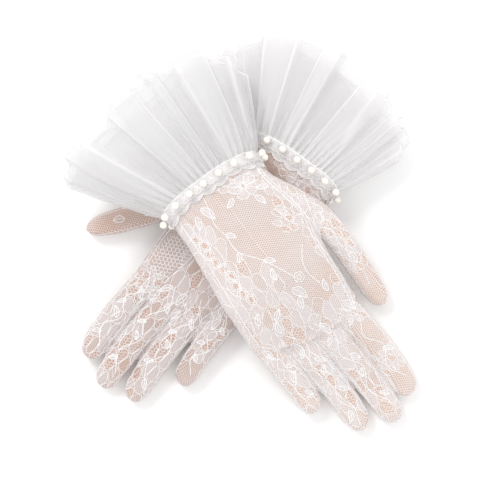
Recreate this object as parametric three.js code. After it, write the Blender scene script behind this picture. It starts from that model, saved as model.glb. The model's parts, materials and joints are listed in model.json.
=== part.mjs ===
// A pair of lace wedding gloves, laid crosswise: the left glove on the table, the right one on top.
// Millimetres, +Z up. Each glove has its own axes: u from the wrist to the fingertips,
// v towards the thumb and w upwards.
import * as THREE from 'three';

// Cloth and clearances
const LACE = 1.0;
const TULLE = 0.8;
const BAND = 1.2;
const GAP = 0.5;
const HOOP_GAP = 0.9;
const SQUARENESS = 0.8;

// Hand of the glove: pairs of [u, value]
const LITTLE_EDGE = [[-20, -33], [0, -33], [20, -34], [45, -37], [65, -40.5], [100, -43], [125, -43]];
const HAND_DEPTH = [[-20, 23.5], [10, 23.5], [36, 26], [60, 25.5], [90, 22], [125, 17.4]];
// Line where the fingers leave the hand: pairs of [v, u]
const WEB = [[-43, 102], [-26.5, 108], [-8.5, 115], [9.5, 117], [28, 118.5]];

// Wrist band, edging and pearls
const BAND_HALF_WIDTH = 4;
const BAND_TILT = 13;
const EDGING_DEPTH = 5;
const EDGING_SCALLOPS = 17;
const PEARLS = 17;
const PEARL_RADIUS = 2.3;

// Ruffle
const PLEATS = 12;
const PLEAT_HEIGHT = 3;
const PLEAT_STEPS = 4;
const RUFFLE_ROWS = 4;

const FINGER_DEPTH = [[0, 17], [0.4, 15.6], [0.8, 13.6], [1, 12.5]];

const GLOVES = {
  left: {
    place: [29, 48],
    heading: -131,
    thumbSign: -1,
    bandSkew: 5,
    tableClip: 0,
    thumbEdge: [[-20, 33], [0, 33], [15, 32], [45, 33.5], [60, 33], [80, 32], [100, 30.5], [125, 27.5]],
    floor: [[-80, 10], [0, 9.6], [16, 7], [36, -1.2], [112, -1.2], [125, 0.4], [250, 0.4]],
    fingers: {
      index: { root: 18.75, bend: 19.3, tip: [180, 16.5], width: 17.2 },
      middle: { root: 0.5, bend: 0.9, tip: [188, -2.5], width: 17.8 },
      ring: { root: -17.5, bend: -18, tip: [182.5, -22], width: 17.8 },
      little: { root: -34.75, bend: -36, tip: [154, -39.5], width: 16 },
    },
    // Thumb rings: [u, v, w, turn in degrees, half width, half depth]
    thumb: [
      [62, 34.6, 12.4, 90, 10.5, 7.4], [69, 39.8, 11.4, 62, 9.4, 7.6], [80, 44.4, 9.6, 40, 8.5, 7.8],
      [92, 51.4, 8.4, 35, 8.1, 7.6], [104, 59.4, 7.6, 34, 7.7, 7], [112, 64.6, 7.2, 33, 6.6, 6.2],
      [117, 67.8, 7, 33, 4.2, 4.4],
    ],
    thumbTip: [119.6, 69.4, 6.8],
    ruffle: {
      thumbReach: 75, littleReach: -48, thumbHem: -18, littleHem: -28, topHem: -67, underHem: -58,
      topRise: 38, underDrop: 1.2, rest: 0.7, sideShare: 0.36,
    },
  },
  right: {
    place: [-24, 33],
    heading: -52,
    thumbSign: 1,
    bandSkew: 2,
    tableClip: -99,
    thumbEdge: [[-20, 33], [0, 33], [15, 32.5], [30, 35.5], [42, 38.5], [52, 38], [64, 34.5], [80, 32], [100, 30.5],
      [125, 27.5]],
    floor: [[-80, 36], [0, 36], [20, 32.6], [40, 29.4], [74, 28.2], [90, 22.8], [118, 11.2], [142, 4.4], [166, 0.8],
      [250, 0.8]],
    fingers: {
      index: { root: 18.75, bend: 21, tip: [184, 18.8], width: 17.6 },
      middle: { root: 0.5, bend: 2.4, tip: [192, 1.6], width: 17.8 },
      ring: { root: -17.5, bend: -16.4, tip: [183.5, -18], width: 17.8 },
      little: { root: -34.75, bend: -34, tip: [156, -35.4], width: 16 },
    },
    thumb: [
      [57, 37.8, 36.6, 77, 9.4, 7.4], [61, 42, 35.4, 50, 9, 7.6], [69, 43, 32.6, 15, 8, 7.8],
      [80, 42.4, 28.4, -2, 7.7, 7.8], [95, 41.6, 21.6, -3, 7.4, 7.6], [110, 41, 14.6, -2, 7.2, 7.2],
      [120, 40.6, 10.4, -2, 6.6, 6.6], [126, 40.4, 8.2, -2, 4.4, 4.8],
    ],
    thumbTip: [129, 40.3, 7.4],
    ruffle: {
      thumbReach: 58, littleReach: -68, thumbHem: -38, littleHem: -38, topHem: -69, underHem: -60,
      topRise: 68, underDrop: 21, rest: 20, sideShare: 0.5,
    },
  },
};

const MATERIALS = {
  lace: { color: 0xf3e9e6, roughness: 0.85, metalness: 0 },
  palm: { color: 0xf1e4e1, roughness: 0.85, metalness: 0 },
  band: { color: 0xf6f3f0, roughness: 0.75, metalness: 0 },
  tulle: { color: 0xeceae9, roughness: 0.7, metalness: 0 },
  pearl: { color: 0xf4efe4, roughness: 0.22, metalness: 0.1 },
};

const radians = THREE.MathUtils.degToRad;
const mix = THREE.MathUtils.lerp;

function along(table, x) {
  if (x <= table[0][0]) return table[0][1];
  for (let i = 1; i < table.length; i += 1) {
    const [x1, y1] = table[i];
    const [x0, y0] = table[i - 1];
    if (x <= x1) {
      const t = (x - x0) / (x1 - x0);
      return mix(y0, y1, t);
    }
  }
  return table[table.length - 1][1];
}

// A circle's sine or cosine, swelled towards a soft square
function swell(value) {
  return Math.sign(value) * Math.abs(value) ** SQUARENESS;
}

function localToTable(glove, [u, v, w]) {
  const heading = radians(glove.heading);
  const du = [Math.cos(heading), Math.sin(heading)];
  const dv = [-Math.sin(heading) * glove.thumbSign, Math.cos(heading) * glove.thumbSign];
  return [
    glove.place[0] + u * du[0] + v * dv[0],
    glove.place[1] + u * du[1] + v * dv[1],
    w,
  ];
}

// Closed solid between two point grids of the same size. Rows run along the cloth and columns
// across it. A tip point closes each grid beyond its last row.
function clothSolid(glove, outer, inner, round, tips) {
  const rows = outer.length;
  const columns = outer[0].length;
  const points = [];
  for (const grid of [outer, inner]) {
    for (const row of grid) {
      for (const point of row) points.push(...localToTable(glove, point));
    }
  }
  const at = (side, i, j) => side * rows * columns + i * columns + (j % columns);
  const faces = [];
  const quad = (a, b, c, d) => faces.push(a, b, c, a, c, d);
  const spans = round ? columns : columns - 1;
  for (let j = 0; j < spans; j += 1) {
    for (let i = 0; i < rows - 1; i += 1) {
      quad(at(0, i, j), at(0, i, j + 1), at(0, i + 1, j + 1), at(0, i + 1, j));
      quad(at(1, i, j), at(1, i + 1, j), at(1, i + 1, j + 1), at(1, i, j + 1));
    }
    quad(at(0, 0, j), at(1, 0, j), at(1, 0, j + 1), at(0, 0, j + 1));
    if (!tips) {
      const last = rows - 1;
      quad(at(0, last, j), at(0, last, j + 1), at(1, last, j + 1), at(1, last, j));
    }
  }
  if (!round) {
    const last = columns - 1;
    for (let i = 0; i < rows - 1; i += 1) {
      quad(at(0, i, 0), at(0, i + 1, 0), at(1, i + 1, 0), at(1, i, 0));
      quad(at(0, i, last), at(1, i, last), at(1, i + 1, last), at(0, i + 1, last));
    }
  }
  if (tips) {
    const outerTip = points.length / 3;
    points.push(...localToTable(glove, tips[0]), ...localToTable(glove, tips[1]));
    for (let j = 0; j < columns; j += 1) {
      faces.push(at(0, rows - 1, j), at(0, rows - 1, j + 1), outerTip);
      faces.push(at(1, rows - 1, j), outerTip + 1, at(1, rows - 1, j + 1));
    }
  }
  return facingOut(points, faces);
}

function facingOut(points, faces) {
  let volume = 0;
  const corner = (index) => new THREE.Vector3().fromArray(points, index * 3);
  for (let f = 0; f < faces.length; f += 3) {
    const [a, b, c] = [corner(faces[f]), corner(faces[f + 1]), corner(faces[f + 2])];
    volume += a.dot(b.cross(c));
  }
  if (volume < 0) {
    for (let f = 0; f < faces.length; f += 3) {
      [faces[f + 1], faces[f + 2]] = [faces[f + 2], faces[f + 1]];
    }
  }
  const geometry = new THREE.BufferGeometry();
  geometry.setAttribute('position', new THREE.Float32BufferAttribute(points, 3));
  geometry.setIndex(faces);
  geometry.computeVertexNormals();
  return geometry;
}

// A point on the hand's tube, a given depth inside its outer face
function handPoint(glove, u, angle, inset) {
  const high = along(glove.thumbEdge, u);
  const low = along(LITTLE_EDGE, u);
  const depth = along(HAND_DEPTH, u);
  const floor = along(glove.floor, u);
  const v = (high + low) / 2 + ((high - low) / 2 - inset) * swell(Math.cos(angle));
  const w = floor + depth / 2 + (depth / 2 - inset) * swell(Math.sin(angle));
  return [u, v, Math.max(w, glove.tableClip + Math.max(inset, 0))];
}

// The band slants round the wrist, so its palm side sits nearer the fingers
function bandOffset(glove, angle) {
  return glove.bandSkew * Math.cos(angle) + (BAND_TILT * (1 - Math.sin(angle))) / 2;
}

function handPanel(glove, from, to, seamLift) {
  const columns = 16;
  const shares = [0, 0.05, 0.11, 0.19, 0.34, 0.48, 0.62, 0.8, 1];
  const grids = [0, LACE].map((inset) => {
    const grid = [];
    for (const share of shares) {
      const row = [];
      for (let j = 0; j <= columns; j += 1) {
        const lift = seamLift(share);
        const angle = radians(mix(from + lift[0], to - lift[1], j / columns));
        const start = bandOffset(glove, angle) - BAND_HALF_WIDTH + 1;
        const v = handPoint(glove, 110, angle, 0)[1];
        row.push(handPoint(glove, mix(start, along(WEB, v), share), angle, inset));
      }
      grid.push(row);
    }
    return grid;
  });
  return clothSolid(glove, grids[0], grids[1], false, null);
}

// A finger's sleeve, open at the hand and closed at the tip
function fingerSleeve(glove, finger) {
  const around = 12;
  const stations = [0, 0.16, 0.4, 0.66, 0.86, 0.96];
  const rootWidth = finger.rootWidth;
  const [tipU, tipV] = finger.tip;
  const rootU = along(WEB, finger.root) + GAP;
  const length = tipU - rootU;
  const centre = (t) => 2 * (t - 0.5) * (t - 1) * finger.root - 4 * t * (t - 1) * finger.bend
    + 2 * t * (t - 0.5) * tipV;
  const widths = [[0, rootWidth], [0.22, finger.width], [0.6, finger.width * 0.97], [0.86, finger.width * 0.86],
    [0.96, finger.width * 0.52]];
  const round = [[0, 1], [0.86, 1], [0.96, 0.62]];
  const grids = [0, LACE].map((inset) => stations.map((t) => {
    const row = [];
    for (let j = 0; j < around; j += 1) {
      const angle = (2 * Math.PI * j) / around;
      const v = centre(t) + (along(widths, t) / 2 - inset) * swell(Math.cos(angle));
      const slant = (along(WEB, v) + GAP - rootU) * Math.max(0, 1 - t * 3.2);
      const u = rootU + slant + t * (length - inset);
      const half = (along(FINGER_DEPTH, t) / 2) * along(round, t) - inset;
      const middle = along(glove.floor, u) + Math.max(0, glove.tableClip + 0.4 - along(glove.floor, u))
        + along(FINGER_DEPTH, t) / 2;
      row.push([u, v, middle + half * swell(Math.sin(angle))]);
    }
    return row;
  }));
  const tipFloor = along(glove.floor, tipU) + FINGER_DEPTH[3][1] / 2;
  const tips = [[tipU, tipV, tipFloor], [tipU - LACE, tipV, tipFloor]];
  return clothSolid(glove, grids[0], grids[1], true, tips);
}

function thumbSleeve(glove) {
  const around = 12;
  const grids = [0, LACE].map((inset) => glove.thumb.map(([u, v, w, turn, halfWidth, halfDepth]) => {
    const row = [];
    const across = [Math.sin(radians(turn)), -Math.cos(radians(turn))];
    for (let j = 0; j < around; j += 1) {
      const angle = (2 * Math.PI * j) / around;
      const side = (halfWidth - inset) * swell(Math.cos(angle));
      row.push([u + side * across[0], v + side * across[1], w + (halfDepth - inset) * swell(Math.sin(angle))]);
    }
    return row;
  }));
  const last = glove.thumb[glove.thumb.length - 1];
  const share = LACE / Math.hypot(glove.thumbTip[0] - last[0], glove.thumbTip[1] - last[1]);
  const innerTip = glove.thumbTip.map((value, k) => mix(value, last[k], share));
  return clothSolid(glove, grids[0], grids[1], true, [glove.thumbTip, innerTip]);
}

// A hoop of cloth round the wrist. The edge function gives its far edge at each angle.
function wristHoop(glove, near, far, thickness, count) {
  const grids = [-HOOP_GAP - thickness, -HOOP_GAP].map((inset) => [near, far].map((edge) => {
    const row = [];
    for (let j = 0; j < count; j += 1) {
      const angle = (2 * Math.PI * j) / count;
      row.push(handPoint(glove, bandOffset(glove, angle) + edge(j, count), angle, inset));
    }
    return row;
  }));
  return clothSolid(glove, grids[0], grids[1], true, null);
}

function rufflePoint(glove, angle, share, depth) {
  const shape = glove.ruffle;
  const cosine = Math.cos(angle);
  const sine = Math.sin(angle);
  const ring = handPoint(glove, 0, angle, -GAP - BAND + depth * 0.5);
  const sideHem = cosine > 0 ? shape.thumbHem : shape.littleHem;
  const endHem = sine > 0 ? shape.topHem : shape.underHem;
  const wander = 2.4 * Math.sin(3 * angle + 1) + 1.6 * Math.sin(5 * angle) - depth * 1.6;
  const turned = cosine > 0 ? Math.abs(sine) ** 0.8 : Math.min(1, (sine * sine + 0.03) ** 0.3);
  const hemU = mix(sideHem, endHem, turned) + wander;
  const reach = cosine > 0 ? shape.thumbReach : -shape.littleReach;
  const hemV = (reach - depth) * swell(cosine);
  const rise = ((1 + swell(sine)) / 2) ** (Math.log(shape.sideShare) / Math.log(0.5));
  const hemW = mix(shape.underDrop, shape.topRise, rise) - depth * swell(sine);
  const spread = share ** 0.85;
  const pleat = PLEAT_HEIGHT * share ** 0.7 * Math.cos(PLEATS * angle);
  const u = mix(bandOffset(glove, angle) - BAND_HALF_WIDTH - GAP - 0.3, hemU, share);
  const v = mix(ring[1], hemV, spread) + pleat * cosine;
  const w = mix(ring[2], hemW, share) + pleat * sine;
  return [u, v, Math.max(w, shape.rest + depth)];
}

function ruffleLayer(glove, depth) {
  const around = PLEATS * PLEAT_STEPS;
  const grids = [depth, depth + TULLE].map((inset) => {
    const grid = [];
    for (let i = 0; i <= RUFFLE_ROWS; i += 1) {
      const row = [];
      for (let j = 0; j < around; j += 1) {
        row.push(rufflePoint(glove, (2 * Math.PI * j) / around, i / RUFFLE_ROWS, inset));
      }
      grid.push(row);
    }
    return grid;
  });
  return clothSolid(glove, grids[0], grids[1], true, null);
}

// Pearls spaced evenly along the band's own length
function pearlCentres(glove) {
  const steps = 720;
  const outward = -HOOP_GAP - BAND - 0.5 - PEARL_RADIUS;
  const walk = [];
  let length = 0;
  for (let k = 0; k <= steps; k += 1) {
    const angle = (2 * Math.PI * k) / steps;
    const point = new THREE.Vector3(...handPoint(glove, bandOffset(glove, angle), angle, outward));
    if (k > 0) length += point.distanceTo(walk[k - 1].point);
    walk.push({ point, length });
  }
  const centres = [];
  for (let n = 0; n < PEARLS; n += 1) {
    const target = ((n + 0.5) * length) / PEARLS;
    centres.push(walk.find((step) => step.length >= target).point);
  }
  return centres;
}

function addPiece(group, name, geometry, look) {
  const mesh = new THREE.Mesh(geometry, new THREE.MeshStandardMaterial(MATERIALS[look]));
  mesh.name = name;
  group.add(mesh);
}

function addGlove(group, side) {
  const glove = GLOVES[side];
  const thumbAt = glove.thumb[0][0];
  const thumbHole = (share) => {
    const u = mix(5, 112, share);
    const open = Math.abs(u - thumbAt) < 16 ? 26 : 1.2;
    return [open, 1.2];
  };
  const palmHole = (share) => thumbHole(share).reverse();
  addPiece(group, `${side}_back_panel`, handPanel(glove, 0, 180, thumbHole), 'lace');
  addPiece(group, `${side}_palm_panel`, handPanel(glove, 180, 360, palmHole), 'palm');
  addPiece(group, `${side}_thumb`, thumbSleeve(glove), 'lace');
  const edges = [[9.5, 28], [-8.5, 9.5], [-26.5, -8.5], [-43, -26.5]];
  Object.entries(glove.fingers).forEach(([name, finger], n) => {
    const rootWidth = edges[n][1] - edges[n][0] - 0.8;
    addPiece(group, `${side}_${name}_finger`, fingerSleeve(glove, { ...finger, rootWidth }), 'lace');
  });
  const wristSide = () => -BAND_HALF_WIDTH;
  const fingerSide = () => BAND_HALF_WIDTH;
  addPiece(group, `${side}_wrist_band`, wristHoop(glove, wristSide, fingerSide, BAND, 34), 'band');
  const edgingNear = () => BAND_HALF_WIDTH + GAP;
  const edgingFar = (j, count) => {
    const phase = (j * EDGING_SCALLOPS * Math.PI) / count;
    return BAND_HALF_WIDTH + GAP + EDGING_DEPTH * (0.55 + 0.45 * Math.abs(Math.sin(phase)));
  };
  addPiece(group, `${side}_scallop_edging`, wristHoop(glove, edgingNear, edgingFar, LACE, 68), 'band');
  addPiece(group, `${side}_ruffle_outer`, ruffleLayer(glove, 0), 'tulle');
  addPiece(group, `${side}_ruffle_inner`, ruffleLayer(glove, 2.6), 'tulle');
  pearlCentres(glove).forEach((centre, n) => {
    const pearl = new THREE.IcosahedronGeometry(PEARL_RADIUS, 1);
    pearl.translate(...localToTable(glove, centre.toArray()));
    addPiece(group, `${side}_pearl_${String(n + 1).padStart(2, '0')}`, pearl, 'pearl');
  });
}

const gloves = new THREE.Group();
gloves.name = 'lace_wedding_gloves';
addGlove(gloves, 'left');
addGlove(gloves, 'right');

// Origin at the middle of the footprint, on the table
const bounds = new THREE.Box3().setFromObject(gloves);
const middle = bounds.getCenter(new THREE.Vector3());
for (const piece of gloves.children) piece.geometry.translate(-middle.x, -middle.y, -bounds.min.z);

export default gloves;
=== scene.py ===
"""A pair of lace wedding gloves laid crosswise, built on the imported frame."""

import bpy
import json
import math
import numpy as np
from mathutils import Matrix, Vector, noise
from mathutils.bvhtree import BVHTree


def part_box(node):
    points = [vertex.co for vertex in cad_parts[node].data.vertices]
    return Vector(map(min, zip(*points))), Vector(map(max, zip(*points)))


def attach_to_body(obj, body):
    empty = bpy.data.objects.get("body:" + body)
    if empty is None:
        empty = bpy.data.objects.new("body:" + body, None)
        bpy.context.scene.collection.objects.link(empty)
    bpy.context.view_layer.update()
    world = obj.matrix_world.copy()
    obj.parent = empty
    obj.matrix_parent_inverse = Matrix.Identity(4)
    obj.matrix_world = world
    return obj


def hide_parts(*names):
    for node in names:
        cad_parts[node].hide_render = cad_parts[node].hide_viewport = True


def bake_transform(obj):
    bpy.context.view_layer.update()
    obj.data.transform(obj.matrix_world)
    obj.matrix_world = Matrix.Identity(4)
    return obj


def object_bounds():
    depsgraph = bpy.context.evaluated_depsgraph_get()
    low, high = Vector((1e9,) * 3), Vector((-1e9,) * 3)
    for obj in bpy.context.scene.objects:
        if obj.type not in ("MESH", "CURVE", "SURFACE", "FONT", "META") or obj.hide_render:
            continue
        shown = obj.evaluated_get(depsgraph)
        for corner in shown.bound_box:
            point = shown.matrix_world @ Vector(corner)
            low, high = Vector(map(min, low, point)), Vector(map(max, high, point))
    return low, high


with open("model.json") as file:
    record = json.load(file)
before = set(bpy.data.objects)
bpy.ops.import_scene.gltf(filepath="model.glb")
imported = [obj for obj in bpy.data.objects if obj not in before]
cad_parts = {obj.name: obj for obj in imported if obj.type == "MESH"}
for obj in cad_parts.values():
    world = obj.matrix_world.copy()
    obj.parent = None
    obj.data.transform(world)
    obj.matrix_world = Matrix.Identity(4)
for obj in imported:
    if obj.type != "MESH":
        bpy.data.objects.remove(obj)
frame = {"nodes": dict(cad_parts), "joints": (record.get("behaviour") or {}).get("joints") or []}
cad_low, cad_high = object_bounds()

# ---------------------------------------------------------------- sizes, in millimetres
MM = 0.001
SQUARENESS = 0.8
VOXEL = 0.8
KNUCKLE_PASSES = 40
CAMERA_EAST = 0.02602
CAMERA_NORTH = -0.04235
CAMERA_HEIGHT = 1.5
CAMERA_LENS = 170

LITTLE_EDGE = [(-20, -33), (0, -33), (20, -34), (45, -37), (65, -40.5), (100, -43), (125, -43)]
HAND_DEPTH = [(-20, 23.5), (10, 23.5), (36, 26), (60, 25.5), (90, 22), (125, 17.4)]
WEB = [(-43, 102), (-26.5, 108), (-8.5, 115), (9.5, 117), (28, 118.5)]
FINGER_DEPTH = [(0, 17), (0.4, 15.6), (0.8, 13.6), (1, 12.5)]
LANES = {"index": (9.5, 28), "middle": (-8.5, 9.5), "ring": (-26.5, -8.5), "little": (-43, -26.5)}
BAND_HALF = 4.0
BAND_TILT = 13.0
BAND_LIFT = 1.5
BAND_TRIM = BAND_HALF * 0.84
SCALLOPS = 17
PLEATS = 10
GATHERS = 44
KNUCKLE_U = 119.0
KNUCKLE_V = 18.75
INNER_LAYER = 2.6
TULLE_CUT = (265, 62)
ROOT_THREE = math.sqrt(3)
DOWN = Vector((0, 0, -1))

GLOVES = {
    "left": {
        "heading": -131,
        "sign": -1,
        "skew": 5,
        "clip": 0.15,
        "thumb_edge": [(-20, 33), (0, 33), (15, 32), (45, 33.5), (60, 33), (80, 32), (100, 30.5),
                       (125, 27.5)],
        "floor": [(-80, 10), (0, 9.6), (16, 7), (36, -1.2), (112, -1.2), (125, 0.4), (250, 0.4)],
        "fingers": {
            "index": (18.75, 19.3, 180, 16.5, 17.6),
            "middle": (0.5, 0.9, 188, -2.5, 18.2),
            "ring": (-17.5, -18, 182.5, -22, 18.2),
            "little": (-34.75, -36, 154, -39.5, 16.5),
        },
        "thumb": [
            (48, 24, 12.6, 90, 10, 7.4), (56, 29, 12.5, 90, 10.5, 7.4), (62, 34.6, 12.4, 90, 10.5, 7.4),
            (69, 39.8, 11.4, 62, 9.4, 7.6), (80, 44.4, 9.6, 40, 8.5, 7.8), (92, 51.4, 8.4, 35, 8.1, 7.6),
            (104, 59.4, 7.6, 34, 7.7, 7), (112, 64.6, 7.2, 33, 6.6, 6.2), (117, 67.8, 7, 33, 4.2, 4.4),
            (119.6, 69.4, 6.8, 33, 0.3, 0.3),
        ],
        "ruffle": dict(thumb=75, little=-48, thumb_hem=-18, little_hem=-28, top_hem=-67, under_hem=-58,
                       top=38, under=1.2, rest=0.7, share=0.36),
    },
    "right": {
        "heading": -52,
        "sign": 1,
        "skew": 2,
        "clip": -99,
        "thumb_edge": [(-20, 33), (0, 33), (15, 32.5), (30, 35.5), (42, 38.5), (52, 38), (64, 34.5),
                       (80, 31.6), (100, 30.2), (125, 27.5)],
        "floor": [(-80, 36), (0, 36), (20, 32.6), (40, 29.4), (74, 28.2), (90, 22.8), (118, 11.2), (142, 4.4),
                  (166, 0.8), (250, 0.8)],
        "fingers": {
            "index": (18.75, 21, 184, 18.8, 18.0),
            "middle": (0.5, 2.4, 192, 1.6, 18.2),
            "ring": (-17.5, -16.4, 183.5, -18, 18.2),
            "little": (-34.75, -34, 156, -35.4, 16.5),
        },
        "thumb": [
            (18, 22, 41.5, 14, 9, 8), (32, 26.5, 41, 22, 11, 9), (45, 31.5, 39.6, 24, 12, 9.2),
            (57, 37.8, 36.8, 22, 10.6, 8.6), (68, 41.6, 33, 12, 8.8, 8.2), (80, 42.4, 28.4, 0, 7.9, 7.9),
            (95, 41.8, 21.6, -3, 7.7, 7.6), (110, 41.2, 14.6, -2, 7.5, 7.2), (120, 40.8, 10.4, -2, 6.8, 6.6),
            (126, 40.4, 8.2, -2, 4.4, 4.8), (129, 40.3, 7.4, -2, 0.3, 0.3),
        ],
        "ruffle": dict(thumb=58, little=-68, thumb_hem=-38, little_hem=-38, top_hem=-69, under_hem=-60,
                       top=68, under=21, rest=20, share=0.5),
    },
}


def lut(table, x):
    return np.interp(x, [p[0] for p in table], [p[1] for p in table])


def soft_lut(table, x, reach=5.0):
    """The table's value with its corners rounded off."""
    return (lut(table, x - reach) + 2 * lut(table, x) + lut(table, x + reach)) / 4


def swell(value):
    return np.sign(value) * np.abs(value) ** SQUARENESS


def centre_line(finger, t):
    """A finger's centre, as v, at shares t of its length: a curve through its root, bend and tip."""
    root, bend, _, tip_v, _ = finger[:5]
    return 2 * (t - 0.5) * (t - 1) * root - 4 * t * (t - 1) * bend + 2 * t * (t - 0.5) * tip_v


def joint_named(name):
    return next(j for j in frame["joints"] if j["name"] == name)


def placement(side):
    """Turns glove coordinates (u, v, w) into the row frame, from the index knuckle's place."""
    glove = GLOVES[side]
    heading = math.radians(glove["heading"])
    along = np.array([math.cos(heading), math.sin(heading), 0])
    across = np.array([-math.sin(heading), math.cos(heading), 0]) * glove["sign"]
    knuckle = np.array(joint_named(side + "_index_knuckle")["pos_m"]) / MM
    origin = knuckle - along * KNUCKLE_U - across * KNUCKLE_V
    origin[2] = 0
    matrix = np.column_stack([along, across, [0, 0, 1]])
    return matrix, origin


def to_row(side, points):
    matrix, origin = GLOVES[side]["place"]
    return (np.asarray(points, float) @ matrix.T + origin) * MM


# ---------------------------------------------------------------- meshes
def make_mesh(name, verts, faces, smooth=True):
    mesh = bpy.data.meshes.new(name)
    mesh.from_pydata(np.asarray(verts).tolist(), [], faces)
    if smooth:
        mesh.shade_smooth()
    obj = bpy.data.objects.new(name, mesh)
    bpy.context.scene.collection.objects.link(obj)
    return obj


def ring_faces(rows, columns, closed=True, offset=0):
    faces = []
    spans = columns if closed else columns - 1
    for i in range(rows - 1):
        for j in range(spans):
            a = offset + i * columns + j
            b = offset + i * columns + (j + 1) % columns
            faces.append((a, b, b + columns, a + columns))
    return faces


def capped_rings(rings):
    """Closed solid through a list of rings, each an array of points."""
    rings = np.asarray(rings)
    rows, columns = rings.shape[:2]
    verts = rings.reshape(-1, 3)
    faces = ring_faces(rows, columns)
    first, last = len(verts), len(verts) + 1
    verts = np.vstack([verts, rings[0].mean(0), rings[-1].mean(0)])
    for j in range(columns):
        k = (j + 1) % columns
        faces.append((first, k, j))
        faces.append((last, (rows - 1) * columns + j, (rows - 1) * columns + k))
    return verts, faces


def hand_point(glove, u, angle, inset):
    high = soft_lut(glove["thumb_edge"], u)
    low = soft_lut(LITTLE_EDGE, u)
    depth = soft_lut(HAND_DEPTH, u)
    floor = soft_lut(glove["floor"], u)
    v = (high + low) / 2 + ((high - low) / 2 - inset) * swell(np.cos(angle))
    w = floor + depth / 2 + (depth / 2 - inset) * swell(np.sin(angle))
    return np.stack([u + 0 * v, v, np.maximum(w, glove["clip"] + np.maximum(inset, 0))], -1)


def band_offset(glove, angle):
    return glove["skew"] * np.cos(angle) + BAND_TILT * (1 - np.sin(angle)) / 2


def hand_rings(glove):
    angle = np.linspace(0, 2 * np.pi, 72, endpoint=False)
    end_v = hand_point(glove, np.full_like(angle, 110.0), angle, 0)[:, 1]
    end_u = lut(WEB, end_v) + 3
    start_u = band_offset(glove, angle) - BAND_HALF - 2
    return [hand_point(glove, start_u + (end_u - start_u) * t, angle, 0.2) for t in np.linspace(0, 1, 60)]


def finger_rings(glove, spec):
    root, _, tip_u, _, width = spec[:5]
    low, high = spec[5]
    angle = np.linspace(0, 2 * np.pi, 40, endpoint=False)
    root_u = lut(WEB, root)
    length = tip_u - root_u
    root_width = high - low + 0.2
    widths = [(-0.2, root_width * 0.9), (0, root_width), (0.22, width), (0.36, width * 0.99),
              (0.44, width * 1.03), (0.52, width), (0.66, width * 0.97), (0.74, width * 0.97),
              (0.86, width * 0.9)]
    rings = []
    round_tip = 0.84 + 0.158 * np.sin(np.linspace(0.12, 1.56, 14))
    stations = np.concatenate([np.linspace(-0.16, 0.84, 40), round_tip])
    for t in stations:
        centre = centre_line(spec, t)
        tip = max(0.0, (t - 0.84) / 0.16)
        closing = math.sqrt(max(1 - tip ** 2, 0.0004))
        half = soft_lut(widths, t, 0.03) / 2 * closing
        deep = soft_lut(FINGER_DEPTH, t, 0.05) / 2 * closing
        u = root_u + t * length
        floor = max(soft_lut(glove["floor"], u), glove["clip"] + 0.3)
        middle = floor + soft_lut(FINGER_DEPTH, t, 0.05) / 2
        v = centre + max(half, 0.2) * swell(np.cos(angle))
        slant = (lut(WEB, v) - root_u) * max(0.0, 1 - max(t, 0) * 3.2)
        rings.append(np.stack([u + slant, v, middle + max(deep, 0.2) * swell(np.sin(angle))], -1))
    return rings


def catmull(points, count):
    """A smooth line through points, with count points for each stretch."""
    p = np.asarray(points, float)
    p = np.vstack([2 * p[0] - p[1], p, 2 * p[-1] - p[-2]])
    out = []
    for i in range(1, len(p) - 2):
        for t in np.linspace(0, 1, count, endpoint=False):
            a, b, c, d = p[i - 1], p[i], p[i + 1], p[i + 2]
            out.append(0.5 * (2 * b + (c - a) * t + (2 * a - 5 * b + 4 * c - d) * t ** 2
                              + (3 * b - a - 3 * c + d) * t ** 3))
    out.append(p[-2])
    return np.array(out)


def thumb_rings(glove):
    angle = np.linspace(0, 2 * np.pi, 40, endpoint=False)
    rings = []
    for u, v, w, turn, half, deep in catmull(glove["thumb"], 5):
        turn = math.radians(turn)
        side = max(half, 0.2) * swell(np.cos(angle))
        rings.append(np.stack([u + side * math.sin(turn), v - side * math.cos(turn),
                               w + max(deep, 0.2) * swell(np.sin(angle))], -1))
    return rings


def glove_skin(side):
    """The whole glove's outer face as one fine mesh in glove coordinates."""
    glove = GLOVES[side]
    solids = [hand_rings(glove)]
    for name, spec in glove["fingers"].items():
        solids.append(finger_rings(glove, tuple(spec) + (LANES[name],)))
    solids.append(thumb_rings(glove))
    verts, faces = [], []
    for rings in solids:
        points, quads = capped_rings(rings)
        base = sum(len(v) for v in verts)
        verts.append(points)
        faces += [tuple(base + i for i in f) for f in quads]
    obj = make_mesh(side + "_form", np.vstack(verts), faces)
    mod = obj.modifiers.new("voxels", "REMESH")
    mod.mode = "VOXEL"
    mod.voxel_size = VOXEL
    mod.adaptivity = 0
    relax = obj.modifiers.new("relax", "SMOOTH")
    relax.factor = 0.5
    relax.iterations = 7
    dg = bpy.context.evaluated_depsgraph_get()
    baked = bpy.data.meshes.new_from_object(obj.evaluated_get(dg))
    count = len(baked.vertices)
    points = np.zeros(count * 3)
    baked.vertices.foreach_get("co", points)
    normals = np.zeros(count * 3)
    baked.vertices.foreach_get("normal", normals)
    polygons = [tuple(p.vertices) for p in baked.polygons]
    bpy.data.objects.remove(obj)
    points = ease_knuckles(points.reshape(-1, 3), polygons)
    return points, normals.reshape(-1, 3), polygons


def ease_knuckles(points, polygons):
    """Smooths the heights along the fingers' roots, where the hand turns into the fingers."""
    pairs = np.array([pair for p in polygons for pair in zip(p, p[1:] + p[:1])])
    start, end = pairs[:, 0], pairs[:, 1]
    degree = np.maximum(np.bincount(start, minlength=len(points)), 1)
    u, v, height = points[:, 0], points[:, 1], points[:, 2].copy()
    near = np.exp(-((u - KNUCKLE_U + 1) / 8) ** 4) * (v < LANES["index"][1] + 2)
    for _ in range(KNUCKLE_PASSES):
        mean = np.bincount(start, weights=height[end], minlength=len(points)) / degree
        height += near * (mean - height)
    return np.column_stack([u, v, height])


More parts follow.
